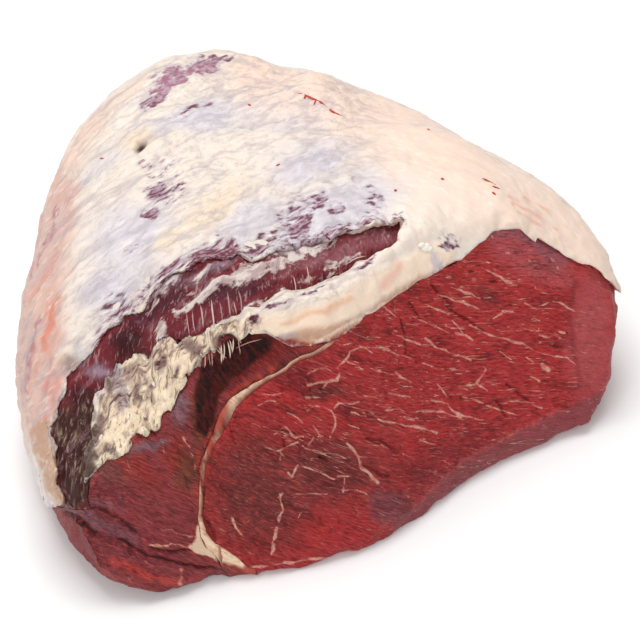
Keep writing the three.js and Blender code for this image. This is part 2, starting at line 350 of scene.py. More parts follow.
fibre_noise.links.new(noise.outputs["Fac"], finished.inputs["Value"])


def streaks(tree, length, width, detail):
    """Noise from 0 to 1 with a length along the painted fibres and a width across them."""
    made = add(tree, "ShaderNodeGroup", {"node_tree": fibre_noise}, Length=length, Width=width,
               Detail=detail)
    return made.outputs["Value"]


def material_of(name, **values):
    """A new material: its node tree and its shader, with the values that are the same all over."""
    made = bpy.data.materials.new(name)
    made.use_nodes = True
    tree = made.node_tree
    shader = tree.nodes["Principled BSDF"]
    for key, value in values.items():
        shader.inputs[key.replace("_", " ")].default_value = value
    return made, tree, shader


def coloured(shader, colour):
    """Feeds a colour to the shader."""
    shader.id_data.links.new(colour, shader.inputs["Base Color"])


def embossed(shader, height, depth):
    """Feeds a height to the shader as relief of a depth in metres."""
    tree = shader.id_data
    bump = add(tree, "ShaderNodeBump", None, Strength=1.0, Distance=depth, Height=height)
    tree.links.new(bump.outputs["Normal"], shader.inputs["Normal"])


KNIFE_HEADING = np.radians(31.5)
KNIFE_LEAN = np.radians(27.5)
CUT_ALONG = np.array((np.cos(KNIFE_HEADING), np.sin(KNIFE_HEADING), 0))
CUT_OUTWARD = np.array((np.sin(KNIFE_HEADING) * np.cos(KNIFE_LEAN),
                        -np.cos(KNIFE_HEADING) * np.cos(KNIFE_LEAN), np.sin(KNIFE_LEAN)))
CUT_UP = np.cross(CUT_OUTWARD, CUT_ALONG)


def fibre_of(points, along, up, slopes):
    """Where each point is along the fibres, across them and in depth; the fibres fall at the slopes
    given by (place along, fall per unit)."""
    run, fall = np.array(slopes).T
    stations = np.linspace(-300, 300, 601)
    drop = np.cumsum(np.interp(stations, run, fall)) * (stations[1] - stations[0]) * MM
    s = points @ along
    return np.stack((s, points @ up + np.interp(s, stations * MM, drop),
                     points @ np.cross(along, up)), 1)


def lean_material(name, marbling):
    """Cut lean: short red fibres in dark and light, threads of marbling, bruised parts, and lean crusted
    near-black by drying, a near-black that also lays painted shade into creases and under the fat's edge.
    """
    made, tree, shader = material_of(name, Roughness=0.4, Specular_IOR_Level=0.22)
    cells = streaks(tree, 0.0045, 0.0011, 5.0)
    patches = streaks(tree, 0.024, 0.009, 3.0)
    flecks = streaks(tree, 0.009, 0.0010, 2.0)
    veins = streaks(tree, 0.060, 0.0050, 2.0)
    breaks = streaks(tree, 0.014, 0.0040, 2.0)
    crumbs = streaks(tree, 0.0030, 0.0016, 3.0)
    gaps = streaks(tree, 0.0070, 0.0060, 1.0)
    upright = streaks(tree, 0.0026, 0.006, 4.0)
    colour = colour_of(tree, "tint")
    colour = washed(colour, patches, 0.5, 0.7, 0.5, "541013")
    colour = washed(colour, patches, 0.45, 0.3, 0.3, "c03a3c")
    colour = washed(colour, cells, 0.5, 0.64, 0.6, "4c0d0f")
    colour = washed(colour, cells, 0.47, 0.32, 0.55, "d4504c")
    colour = blend(mask_of(tree, "skin"), colour, colour_of(tree, "tint"))
    thread = rise(maths("ABSOLUTE", maths("SUBTRACT", veins, 0.5)), 0.014, 0.002)
    light = times(thread, rise(breaks, 0.5, 0.6))
    light = maths("MAXIMUM", light, times(rise(flecks, 0.64, 0.72), 0.8))
    light = times(light, times(mask_of(tree, "marbled"), marbling))
    ragged = times(maths("SUBTRACT", crumbs, 0.5), 1.6)
    ragged = plus(ragged, times(maths("SUBTRACT", gaps, 0.5), 2.0))
    drawn = rise(plus(mask_of(tree, "vein"), ragged), 0.42, 1.0)
    light = maths("MAXIMUM", light, drawn)
    pale = blend(rise(crumbs, 0.42, 0.62), rgb("f2c0aa"), rgb("d4786c"))
    colour = blend(times(light, 0.74), colour, pale)
    colour = blend(rise(mask_of(tree, "vein"), 1.1, 1.5), colour, rgb("ecccae"))
    # Near-black where the lean has crusted in drying, laid also as painted shade in creases and under the
    # fat's edge.
    dark = rise(plus(mask_of(tree, "dried"), times(upright, 0.6)), 0.55, 1.1)
    crust = blend(rise(upright, 0.4, 0.62), rgb("1e0302"), rgb("541008"))
    coloured(shader, blend(dark, colour, crust))
    relief = plus(cells, times(patches, 0.8))
    embossed(shader, plus(relief, times(upright, mask_of(tree, "dried"))), 0.0016)
    return made


def near_line(spots, line):
    """How many pixels each spot is from a line through the given pixels."""
    line = np.array(line, float)
    best = np.full(len(spots), 1e9)
    for start, end in zip(line[:-1], line[1:]):
        along = end - start
        share = np.clip((spots - start) @ along / (along @ along), 0, 1)
        best = np.minimum(best, np.linalg.norm(spots - start - share[:, None] * along, axis=1))
    return best


def by_line(spots, line, half_width, soft):
    """1 on a line of pixels and 0 beyond its half width, with a soft rim."""
    return 1 - ease(near_line(spots, line), half_width - soft / 2, half_width + soft / 2)


BLOB_CORE = 0.4
BLOB_RIM = 1.3


def in_blobs(spots, *blobs):
    """1 inside blobs (right, down, half length, half width, degrees up) and 0 outside, with soft rims."""
    best = np.zeros(len(spots))
    for x, y, long, wide, turn in blobs:
        turn = np.radians(turn)
        dx, dy = spots[:, 0] - x, spots[:, 1] - y
        along = dx * np.cos(turn) - dy * np.sin(turn)
        side = dx * np.sin(turn) + dy * np.cos(turn)
        best = np.maximum(best, 1 - ease(np.hypot(along / long, side / wide), BLOB_CORE, BLOB_RIM))
    return best


def in_area(spots, outline, soft):
    """1 inside an outline of pixels and 0 outside, with a soft rim."""
    outline = np.array(outline, float)
    inside = np.zeros(len(spots), bool)
    for (x0, y0), (x1, y1) in zip(outline, np.roll(outline, -1, 0)):
        if y0 == y1:
            continue
        crosses = (spots[:, 1] < y0) != (spots[:, 1] < y1)
        inside ^= crosses & (spots[:, 0] < x0 + (spots[:, 1] - y0) * (x1 - x0) / (y1 - y0))
    away = near_line(spots, np.concatenate((outline, outline[:1])))
    return ease(np.where(inside, away, -away), -soft / 2, soft / 2)


def wandering(points, spots, amount, size, seed):
    """Spots shifted by soft noise, so that what is placed by them gets a natural outline."""
    shift = [clouds(points, size, 3, seed + k) for k in range(2)]
    return spots + amount * np.stack(shift, 1)


def in_view(points, out, low=0.0, high=0.3):
    """How squarely each point faces the photographer, 0 to 1."""
    sight = EYE - points
    sight /= np.linalg.norm(sight, axis=1)[:, None]
    return ease((out * sight).sum(1), low, high)


def looked_at(points, tris, *wanders):
    """A skin's normals, its pixels and how squarely it faces the photographer, and then its pixels
    once more for each wander of amount, size and seed."""
    out = normals_of(points, tris)
    seen = seen_at(points)
    return out, seen, in_view(points, out), *(wandering(points, seen, *wander) for wander in wanders)


def tinted(points, base, **layers):
    """The colour at each point: a base colour with others laid over it in turn, each by its share."""
    colour = np.tile(np.array(rgb(base)), (len(points), 1))
    for shade, share in layers.values():
        colour += np.clip(share, 0, 1)[:, None] * (np.array(rgb(shade)) - colour)
    return colour


def traced(spots, lines):
    """How near each spot is to lines of pixels with a half width: 1 on a line, 0 at twice its width."""
    best = np.zeros(len(spots))
    for half_width, line in lines:
        line = np.array(line, float)
        low, high = line.min(0) - 2 * half_width, line.max(0) + 2 * half_width
        near = np.nonzero(((spots > low) & (spots < high)).all(1))[0]
        share = 1 - near_line(spots[near], line) / (2 * half_width)
        best[near] = np.maximum(best[near], share)
    return best


# How far the borders between layers are torn: everywhere, in the rags, and along the slot's two edges.
TEAR = 1.3 * MM
FRAY = 3.6 * MM
FRAY_AT_FOOT = 1.4 * MM
TONGUES = 2.8 * MM
# The slot's upper border, the lower one at its right, and the patch of rags, in pixels.
SLOT_TOP = [
    (402, 220), (386, 223), (343, 237), (307, 244), (271, 259), (236, 266), (199, 266), (152, 300),
    (124, 319), (109, 335), (90, 357), (74, 376),
]
SLOT_FOOT = [
    (262, 306), (279, 298), (330, 280), (352, 270),
]
FRAYED = [
    (60, 500), (58, 430), (80, 385), (116, 345), (160, 322), (240, 306), (262, 320), (246, 350),
    (216, 372), (192, 405), (168, 436), (110, 492),
]


def torn(points, open_air):
    """Draws the borders between layers in and out a little, by the same amount on both sides, and
    keeps everything on or above the table."""
    pull = TEAR * np.stack([clouds(points, 9 * MM, 3, 40 + k) for k in range(3)], 1)
    seen = seen_at(points)
    in_rags = in_area(seen, FRAYED, 24)
    frayed = FRAY * in_rags + FRAY_AT_FOOT * by_line(seen, SLOT_FOOT, 8, 14)
    tongued = TONGUES * (by_line(seen, SLOT_TOP, 16, 20) * (1 - in_rags))
    pull += (frayed * grain(points, SIGHT_UP, 60 * MM, 4.5 * MM, 4, 44))[:, None] * SIGHT_UP
    pull += (tongued * grain(points, SIGHT_UP, 60 * MM, 8 * MM, 4, 45))[:, None] * SIGHT_UP
    low = ease(points[:, 2], 1 * MM, 8 * MM)
    points = points + pull * (low * (1 - ease(open_air, 1.5 * MM, 6 * MM)))[:, None]
    points[:, 2] = np.maximum(points[:, 2], 0)
    return points


# On the cut the fibres fall gently to the right and steepen towards the right end of the meat.
CUT_SLOPES = [(-120, 0.9), (-40, 0.8), (0, 0.55), (50, 0.38), (100, 0.42), (130, 0.65), (150, 1.1),
              (165, 2.2), (200, 3)]

# Veins of marbling and creases in the cut: half a line's width and the pixels that it passes through.
MAIN_VEINS = [
    (1.5, [(308, 386), (318, 383), (327, 382), (332, 380), (337, 380), (340, 373), (338, 368)]),
    (1.0, [(338, 368), (347, 358), (350, 351), (360, 347), (373, 347), (382, 347)]),
    (1.6, [(380, 347), (388, 350)]), (0.8, [(347, 362), (355, 364), (362, 369)]),
    (1.0, [(323, 389), (328, 382)]), (0.8, [(307, 374), (317, 368), (328, 366)]),
    (0.8, [(340, 404), (353, 404), (359, 402)]),
    (1.1, [(307, 410), (313, 407), (323, 407), (332, 411), (334, 416), (335, 423), (331, 431),
           (330, 437)]), (1.0, [(335, 408), (340, 404)]),
    (0.9, [(275, 435), (284, 427), (295, 437), (303, 437)]), (1.2, [(277, 452), (285, 448), (297, 442)]),
    (0.9, [(280, 460), (281, 450)]), (0.8, [(287, 413), (297, 417), (302, 422)]),
    (0.8, [(312, 425), (317, 432), (320, 438)]), (0.9, [(308, 447), (313, 438)]),
    (1.5, [(347, 443), (357, 457), (363, 470), (370, 475), (378, 482)]), (0.9, [(357, 457), (368, 457)]),
    (0.9, [(288, 472), (292, 477), (297, 466), (310, 468), (327, 475), (333, 479)]),
    (0.9, [(337, 477), (348, 477)]), (0.9, [(343, 492), (344, 480)]),
    (0.9, [(342, 490), (357, 490), (367, 494)]), (0.8, [(278, 497), (283, 492)]),
    (0.7, [(263, 393), (273, 395), (285, 393)]), (0.8, [(307, 398), (320, 398)]),
    (0.7, [(257, 405), (267, 400), (275, 401)]),
    (1.2, [(425, 338), (433, 346), (443, 350), (455, 354), (470, 359)]), (1.0, [(423, 363), (433, 366)]),
    (1.4, [(395, 372), (400, 377), (410, 382)]), (1.0, [(390, 394), (410, 397)]),
    (0.9, [(365, 396), (372, 397), (379, 399)]),
    (0.9, [(377, 410), (382, 411), (397, 410), (407, 412), (423, 411), (440, 412), (460, 417)]),
    (1.2, [(378, 420), (390, 422), (405, 426), (417, 427), (427, 430), (438, 433)]),
    (0.9, [(408, 419), (415, 420)]), (0.9, [(376, 311), (384, 307), (390, 311), (396, 317)]),
    (0.7, [(344, 345), (352, 342), (362, 346), (372, 352)]),
    (1.2, [(483, 269), (498, 276), (507, 281), (517, 286)]), (0.9, [(508, 283), (520, 280)]),
    (0.9, [(525, 303), (533, 307), (542, 306), (552, 302), (560, 303), (567, 308), (575, 312)]),
    (0.9, [(515, 322), (522, 329), (533, 331)]), (0.8, [(503, 311), (513, 311)]),
    (0.8, [(493, 318), (502, 313)]), (0.9, [(533, 318), (539, 321)]), (1.2, [(540, 335), (550, 338)]),
    (0.9, [(560, 332), (565, 333)]),
    (1.0, [(470, 325), (483, 332), (493, 336), (508, 340), (523, 344), (538, 352), (555, 357), (567, 358),
           (575, 365)]), (1.5, [(508, 340), (522, 344)]), (1.1, [(457, 333), (467, 335), (473, 341)]),
    (0.8, [(453, 320), (460, 328), (465, 335)]), (0.8, [(413, 317), (432, 325), (450, 333)]),
    (1.3, [(482, 366), (486, 371), (480, 380), (475, 385), (458, 387)]), (0.9, [(477, 384), (487, 391)]),
    (0.9, [(437, 384), (448, 397)]), (1.1, [(432, 400), (447, 404), (452, 410), (460, 415)]),
    (0.7, [(460, 415), (483, 419)]), (0.7, [(463, 397), (483, 403)]), (1.6, [(542, 365), (548, 370)]),
    (1.0, [(530, 377), (540, 382)]), (0.7, [(527, 402), (542, 408)]), (0.9, [(527, 358), (533, 362)]),
    (0.8, [(450, 287), (480, 298)]), (0.8, [(438, 295), (463, 303), (483, 310)]),
    (0.8, [(430, 306), (450, 314)]), (0.8, [(397, 336), (420, 344)]), (0.8, [(390, 352), (412, 358)]),
    (0.7, [(470, 372), (450, 368)]), (1.6, [(276, 527), (272, 542), (273, 550), (270, 559)]),
    (1.0, [(278, 522), (280, 515), (283, 510), (281, 500), (280, 493)]),
    (0.9, [(232, 518), (235, 528), (242, 535)]), (0.7, [(293, 493), (308, 493), (327, 494)]),
    (0.7, [(297, 518), (302, 512)]), (0.9, [(257, 362), (260, 377)]),
    (0.7, [(486, 405), (500, 410), (516, 414)]), (0.6, [(420, 440), (440, 446)]),
    (0.6, [(500, 352), (512, 360)]), (0.7, [(352, 412), (362, 416), (370, 414)]),
    (0.6, [(348, 424), (358, 428)]), (0.6, [(300, 456), (312, 460)]), (1.2, [(491, 237), (492, 238)]),
    (1.2, [(507, 253), (509, 254)]), (1.3, [(487, 262), (489, 263)]), (1.2, [(529, 261), (531, 262)]),
    (1.1, [(535, 235), (536, 236)]), (1.2, [(552, 259), (554, 260)]), (1.2, [(557, 266), (558, 268)]),
    (1.2, [(408, 497), (409, 498)]), (1.1, [(403, 454), (404, 455)]),
    (1.0, [(243, 564), (260, 568), (278, 565), (300, 562), (330, 558)]),
]
SIDE_VEINS = [
    (1.0, [(162, 440), (163, 448), (165, 455)]), (0.9, [(183, 437), (190, 448)]),
    (0.8, [(126, 457), (130, 465)]), (1.2, [(198, 537), (180, 535), (170, 530), (160, 531)]),
    (0.8, [(168, 484), (174, 488)]), (1.0, [(187, 546), (170, 543), (150, 545)]),
    (2.0, [(182, 572), (181, 586)]), (0.7, [(196, 470), (190, 452)]),
    (0.9, [(196, 545), (210, 556), (230, 560)]),
]
MAIN_CREASES = [
    (1.6, [(367, 438), (382, 442), (390, 447), (397, 453)]), (1.2, [(320, 457), (325, 460)]),
    (1.2, [(443, 303), (458, 313), (472, 323), (483, 332)]), (1.1, [(432, 285), (443, 297), (452, 307)]),
    (1.2, [(507, 385), (528, 400)]), (1.0, [(472, 272), (478, 275)]), (1.0, [(490, 282), (498, 282)]),
    (1.0, [(493, 400), (508, 417)]), (0.9, [(402, 318), (407, 352)]), (0.9, [(410, 303), (420, 318)]),
    (1.6, [(362, 466), (374, 470), (388, 477)]), (1.4, [(206, 455), (214, 462)]),
    (2.4, [(199, 494), (202, 508), (208, 524), (214, 536)]),
]
SIDE_CREASES = [
    (2.0, [(92, 506), (106, 510), (122, 520), (136, 532)]), (2.0, [(66, 512), (80, 520), (96, 532)]),
    (1.4, [(150, 548), (170, 552), (192, 549)]), (1.4, [(120, 540), (150, 556), (190, 566), (236, 572)]),
]
# Lengths of the triangles' edges, and how near to another layer the lean's surface is held.
ROUGH_EDGE = 7 * MM
EARLY_EDGE = 3.2 * MM
CUT_EDGE = 2.5 * MM
VEIN_EDGE = 0.9 * MM
UNDERSIDE_EDGE = 6 * MM
ABOVE_TABLE = 1.2 * MM
LEAN_PINNED = 0.6 * MM
LEAN_LOOSE = 4 * MM


def lean_evenness(points):
    """Middling edges above the table and long ones on the underside."""
    return np.where(points[:, 2] > ABOVE_TABLE, EARLY_EDGE, UNDERSIDE_EDGE)


def lean_fineness(points):
    """Short edges on the knife cut, shorter ones along veins and creases, long ones on the underside."""
    fine = [(half_width + 1.2, line)
            for half_width, line in MAIN_VEINS + SIDE_VEINS + MAIN_CREASES + SIDE_CREASES]
    edge = np.where(traced(seen_at(points), fine) > 0.3, VEIN_EDGE, CUT_EDGE)
    return np.where(points[:, 2] > ABOVE_TABLE, edge, UNDERSIDE_EDGE)


def room_for_relief(points, open_air):
    """0 where the lean meets another layer or the table, and 1 well away from both."""
    return ease(open_air, 0.8 * MM, 4 * MM) * ease(points[:, 2], 0.5 * MM, 6 * MM)


CUT_UNDERSIDE = [(392, 528), (415, 507), (440, 482), (471, 456), (519, 430), (560, 411), (600, 392),
                 (612, 408), (560, 444), (519, 466), (471, 490), (440, 514), (400, 540)]
RIGHT_END = [(572, 268), (620, 280), (620, 410), (590, 412), (574, 380), (568, 320)]

stages = [(ROUGH_EDGE, 26), (lean_evenness, 18), (lean_fineness, 4)]
points, tris, open_air = fleshed("lean_main", stages, LEAN_PINNED, LEAN_LOOSE)
out, seen, view, spots, close = looked_at(points, tris, (5, 12 * MM, 5), (1.5, 5 * MM, 33))
fibre = fibre_of(points, CUT_ALONG, CUT_UP, CUT_SLOPES)
creases = view * traced(close, MAIN_CREASES)
height = 1.1 * grain(fibre, ALONG, 40 * MM, 16 * MM, 3, 3)
height += 0.5 * grain(fibre, ALONG, 14 * MM, 3.4 * MM, 2, 4)
height -= 1.4 * creases
free = room_for_relief(points, open_air)
points = torn(points + out * (free * height * MM)[:, None], open_air)
underside = view * in_area(close, CUT_UNDERSIDE, 4)
tint = tinted(
    points, "b02c2e",
    shaded_foot=("7c2228", 0.6 * view * in_blobs(spots, (440, 465, 95, 26, 28), (300, 372, 40, 14, 20))),
    browned_left=("74302e", 0.95 * view * in_blobs(
        spots, (258, 490, 60, 66, 0), (320, 470, 70, 40, 0), (325, 393, 26, 10, 10))),
    pale_rim=("bc5458", 0.85 * view * in_blobs(spots, (530, 262, 56, 20, -28), (592, 335, 26, 80, 0))),
    bend=("86262c", 0.6 * view * by_line(close, [(576, 280), (570, 310), (574, 350), (580, 385)], 2, 5)),
    grey_skin=("8c5c66", 0.7 * view * by_line(
        spots, [(488, 230), (510, 230), (534, 238), (560, 258)], 9, 12)),
    bright_patches=("b23434", 0.7 * view * in_blobs(
        spots, (250, 414, 28, 12, -10), (318, 414, 20, 12, -10), (345, 346, 16, 12, 40),
        (380, 424, 26, 12, -15), (480, 282, 26, 12, -35), (350, 400, 24, 8, 0))),
    grey_patch=("74464e", 0.7 * view * in_blobs(spots, (392, 508, 24, 20, 0))),
    red_foot=("a02c30", 0.5 * view * in_area(
        spots, [(205, 545), (300, 560), (400, 530), (500, 470), (500, 480), (300, 590), (205, 590)], 14)),
    # Painted shade in hollows of the cut and in the pocket under the ridge.
    dark_hollows=("5c2022", 0.6 * view * in_blobs(
        spots, (350, 410, 14, 9, 0), (302, 350, 30, 8, 20), (490, 300, 20, 8, -30))),
    # Painted shade in the creases of the cut.
    creased=("54100f", 0.7 * creases),
    turned_under=("8e464c", 0.85 * underside),
    # A painted highlight along the edge where the cut turns under.
    lower_rim=("c46060", 0.6 * view * by_line(
        close, [(415, 506), (440, 481), (471, 455), (519, 429), (560, 410)], 1.2, 2)),
)
network = in_blobs(spots, (300, 430, 50, 40, 0), (345, 455, 40, 30, 0))
right_end = view * in_area(spots, RIGHT_END, 16)
# On the main muscle the mask of dried lean and shade holds only painted shade along the creases.
masks = {
    "tint": tint, "fibre": fibre, "dried": 0.25 * creases, "skin": 0.6 * np.maximum(right_end, underside),
    "vein": 1.15 * view * traced(wandering(points, seen, 0.8, 6 * MM, 60), MAIN_VEINS),
    "marbled": np.maximum(0.4 + 0.6 * in_blobs(spots, (440, 360, 150, 120, -20)), network),
}
skins = [(points, tris)]
main_muscle = piece("main_muscle", points, tris, masks, lean_material("main_lean", 0.95))
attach(main_muscle, "root")
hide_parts("lean_main")

# The side muscle is the smaller one at the left of the seam. Its knife cut is duller and browner, and
# the corner under the fat, next to the seam, is painted almost black, as lean crusted by drying and as
# the shade under the fat's edge, with an orange-red rim.
SIDE_SLOPES = [(-160, 0.9), (-60, 1.5)]
SEAM_PHOTO = [
    (335, 341), (310, 352), (290, 364), (270, 378), (250, 390), (236, 398), (228, 412), (222, 428),
    (213, 442), (205, 455), (203, 470), (202, 490), (200, 510), (200, 530), (212, 548), (238, 562),
]
DRIED_CORNER = [(200, 366), (216, 348), (240, 334), (276, 336), (270, 352), (246, 370), (231, 384),
                (219, 398), (214, 424), (205, 442), (197, 432), (194, 404), (196, 380)]
DARK_CORNER = [(246, 334), (270, 332), (310, 342), (300, 350), (272, 364), (246, 380), (230, 392)]
PALE_WEDGE = [(197, 518), (204, 530), (214, 545), (228, 555), (244, 560), (244, 567), (227, 562),
              (212, 559), (198, 554), (186, 546), (196, 538)]

stages = [(ROUGH_EDGE, 20), (lean_evenness, 14), (lean_fineness, 4)]
points, tris, open_air = fleshed("lean_side", stages, LEAN_PINNED, LEAN_LOOSE)
out, seen, view, spots, close = looked_at(points, tris, (4, 10 * MM, 8), (2, 5 * MM, 34))
fibre = fibre_of(points, CUT_ALONG, CUT_UP, SIDE_SLOPES)
creases = view * traced(close, SIDE_CREASES)
height = 1.2 * grain(fibre, ALONG, 30 * MM, 12 * MM, 3, 6)
height += 0.5 * grain(fibre, ALONG, 12 * MM, 3.2 * MM, 2, 7)
height -= 1.5 * creases
free = room_for_relief(points, open_air)
points = torn(points + out * (free * height * MM)[:, None], open_air)
seam_away = near_line(seen_at(points), SEAM_PHOTO)
rim = (1 - ease(np.abs(seam_away - 5), 2, 5)) * (1 - ease(spots[:, 1], 470, 510))
# Near-black painted in the corner under the fat: both lean crusted by drying and the shade under the fat's
# edge.
dried = in_area(close, DRIED_CORNER, 14)
tint = tinted(
    points, "8e3a3c",
    dull_left=("7a4c46", 0.8 * view * in_blobs(spots, (118, 465, 30, 20, 30))),
    redder_middle=("96302c", 0.9 * view * in_blobs(spots, (176, 455, 14, 26, 0), (140, 470, 30, 14, -30))),
    dark_foot=("7c3038", 0.8 * view * in_blobs(spots, (130, 545, 60, 26, -15), (110, 500, 30, 20, -10))),
    grey_skin=("8c707a", 0.8 * view * in_blobs(
        close, (180, 408, 11, 20, 0), (150, 446, 22, 5, 15), (90, 518, 26, 6, -25))),
    # Dark red under the fat's edge: the lean's own red with painted shade from the overhang.
    dark_corner=("7a1c18", 0.95 * view * in_area(spots, DARK_CORNER, 8)),
    brown_by_seam=("70402c", 0.8 * view * in_blobs(close, (198, 418, 8, 40, 0), (188, 470, 14, 26, 0))),
    bright_foot=("c0423a", 0.8 * view * by_line(
        close, [(112, 560), (140, 572), (165, 582), (186, 584), (225, 576)], 4, 5)),
    grey_folds=("7c4a54", 0.8 * view * np.maximum(
        by_line(close, [(72, 512), (92, 516), (112, 528), (134, 540)], 6, 8),
        by_line(close, [(90, 500), (104, 502), (126, 512)], 3, 5))),
    orange_rim=("c0402a", 0.8 * view * rim * ease(clouds(points, 9 * MM, 2, 63), -0.4, 0.3)),
    # Painted shade in the creases and folds of the cut.
    creased=("301010", 0.9 * creases),
    near_table=("7c3a42", 0.7 * (1 - ease(points[:, 2], 5 * MM, 9 * MM))),
)
# The mask of dried lean and shade holds the near-black corner under the fat and painted shade along the
# creases.
masks = {
    "tint": tint, "fibre": fibre, "skin": np.zeros(len(points)), "marbled": np.full(len(points), 0.3),
    "vein": view * np.maximum(traced(close, SIDE_VEINS), 1.6 * in_area(close, PALE_WEDGE, 3)),
    "dried": np.maximum(view * dried * ease(seam_away, 4, 9), 0.25 * creases),
}
skins.append((points, tris))
side_muscle = piece("side_muscle", points, tris, masks, lean_material("side_lean", 0.7))
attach(side_muscle, "root")
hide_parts("lean_side")

# The seam fat is the thin sheet that parts the two muscles. Only its edge shows, as a cream line that
# thickens at a knot half way and opens into a wedge at the foot of the cut.
CREAM_LINE = [
    (345, 339), (335, 344), (320, 349), (300, 356), (290, 362), (278, 369), (262, 378), (255, 384),
    (242, 389), (233, 395), (228, 404), (226, 416), (219, 435), (214, 442), (207, 452), (204, 466),
    (203, 482), (199, 495), (199, 512), (204, 530), (212, 545), (232, 558),
]
SEAM_WEDGE = [(199, 518), (210, 533), (220, 548), (234, 556), (247, 561), (242, 568), (206, 558), (190, 547)]

points, tris, open_air = fleshed("seam_fat", [(4 * MM, 4), (1.1 * MM, 3)], 0.2 * MM, 2 * MM)
points = torn(points, open_air)
seen = seen_at(points)
spots = wandering(points, seen, 2, 8 * MM, 12)
half_width = np.interp(seen[:, 0], [240, 270], [1.7, 3.0])
cream = by_line(seen, CREAM_LINE, half_width, 2.5)
cream *= 0.6 + 0.8 * ease(clouds(points, 7 * MM, 2, 61), -0.3, 0.3)
tint = tinted(
    points, "7e2c28",
    reddish=("b4503a", 0.8 * ease(clouds(points, 12 * MM, 2, 62), -0.1, 0.5)),
    cream=("e6b898", cream),
    knot_and_wedge=("f0d2b2", np.maximum(
        0.95 * in_blobs(spots, (229, 407, 19, 11, 72), (245, 388, 14, 5, 30)),
        in_area(spots, SEAM_WEDGE, 4))),
    wedge_tip=("e8bc9c", by_line(spots, [(238, 560), (250, 564), (266, 567)], 1.6, 2)),
    orange_edge=("b0402a", 0.95 * by_line(seen, [(230, 386), (222, 410), (214, 430), (208, 446)], 3.5, 2)),
    # Painted shade in the narrow gaps beside the seam.
    clefts=("30100c", 0.9 * np.maximum(
        by_line(seen, [(202, 494), (204, 506), (208, 520), (212, 530)], 2, 3),
        in_blobs(seen, (213, 433, 4, 3, 0)))),
)
masks = {"tint": tint, "fibre": fibre_of(points, CUT_ALONG, CUT_UP, SIDE_SLOPES)}
made, tree, shader = material_of("seam_cream", Roughness=0.5, Specular_IOR_Level=0.3)
mottle = streaks(tree, 0.004, 0.0014, 3.0)
coloured(shader, washed(colour_of(tree, "tint"), mottle, 0.45, 0.7, 0.6, "b8604c"))
embossed(shader, mottle, 0.0008)
skins.append((points, tris))
seam_line = piece("seam_line", points, tris, masks, made)
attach(seam_line, "root")
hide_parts("seam_fat")

# The cap muscle is a flat maroon sheet of lean under the fat. It shows where the fat has been pulled
# off it, in a long slot behind the ridge, under a thin wet membrane, and its low end has dried brown.
TOP_SLOPES = [(-170, -1.2), (-120, -0.7), (-20, -0.6), (10, -0.45), (40, 0.1), (70, 0.6), (170, 0.9)]
SIDEWAYS = np.array((1.0, 0, 0))
RAKE = (0.85, 0.4, 0.4)
BROWN_END = [(66, 408), (84, 398), (102, 402), (104, 416), (97, 440), (98, 470), (94, 500), (70, 512),
             (56, 480), (50, 440), (56, 410)]
TONGUE = [(172, 314), (188, 306), (206, 294), (222, 285), (243, 275), (262, 267), (282, 259), (302, 251),
          (330, 242)]
VEILS = [
    (165, 288, 22, 5, 35), (200, 276, 14, 4, 30), (306, 282, 10, 3, 20), (392, 228, 10, 8, 20),
    (150, 304, 12, 4, 40), (176, 314, 5, 8, 0), (345, 262, 10, 5, 60), (331, 266, 9, 7, 30),
    (356, 258, 14, 3, 25), (330, 276, 14, 3, 20), (258, 303, 16, 3, 20), (282, 294, 10, 3, 20),
]
THICK_VEIL = (162, 334, 9, 13, 0)
FAINT_VEILS = [(190, 296, 34, 16, 30), (255, 270, 40, 12, 25)]

points, tris, open_air = fleshed("cap_muscle", [(5 * MM, 10), (1.5 * MM, 6)], 0.2 * MM, 1.5 * MM)
out, seen, _, spots, close = looked_at(points, tris, (5, 9 * MM, 14), (3, 4 * MM, 35))
fibre = fibre_of(points, SIDEWAYS, SIGHT_UP, TOP_SLOPES)
browned = in_area(close, BROWN_END, 18)
raked = grain(points, RAKE, 26 * MM, 3.2 * MM, 3, 64)
membrane = by_line(spots, TONGUE, np.interp(seen[:, 0], [170, 200, 240, 320], [2, 5, 7.5, 8]), 7)
membrane *= ease(raked, -0.75, -0.1)
height = 0.8 * grain(fibre, ALONG, 30 * MM, 8 * MM, 3, 9)
height += membrane * (0.8 + 0.8 * raked)
height += 1.2 * browned * grain(fibre, ACROSS, 20 * MM, 3 * MM, 2, 19)
points = points + out * (ease(open_air, 0.6 * MM, 1.5 * MM) * height * MM)[:, None]
points = torn(points, open_air)
tint = tinted(
    points, "70222a",
    paler_right=("8a4c54", in_blobs(spots, (330, 258, 60, 9, 15), (375, 238, 30, 10, 10))),
    darker_left=("521c28", in_blobs(spots, (160, 300, 50, 16, 35), (225, 292, 50, 12, 15))),
    silvery=("a292a2", 0.6 * in_blobs(
        close, (112, 312, 14, 5, 40), (86, 350, 20, 7, 55), (215, 270, 30, 5, 25), (165, 285, 22, 6, 30),
        (102, 372, 8, 18, 70), (300, 250, 30, 4, 15))),
    # Painted shade in the deep hollows at the torn edge.
    deep_hollows=("3a0a10", in_blobs(
        close, (128, 343, 22, 15, 55), (82, 396, 14, 16, 60), (185, 346, 12, 10, 0), (128, 385, 4, 12, 80))),
    dried_end=("321a14", 0.9 * browned),
)
veiled = np.maximum.reduce([in_blobs(close, *VEILS), 1.5 * membrane, 1.4 * in_blobs(close, THICK_VEIL),
                            0.35 * in_blobs(spots, *FAINT_VEILS)])
masks = {"tint": tint, "fibre": fibre, "browned": browned, "veiled": veiled}
made, tree, shader = material_of("cap_maroon", Roughness=0.45, Specular_IOR_Level=0.2)
upright = streaks(tree, 0.0016, 0.016, 4.0)
cloudy = streaks(tree, 0.02, 0.006, 3.0)
colour = colour_of(tree, "tint")
colour = washed(colour, cloudy, 0.54, 0.74, 0.5, "987078")
colour = washed(colour, cloudy, 0.48, 0.3, 0.6, "3c1018")
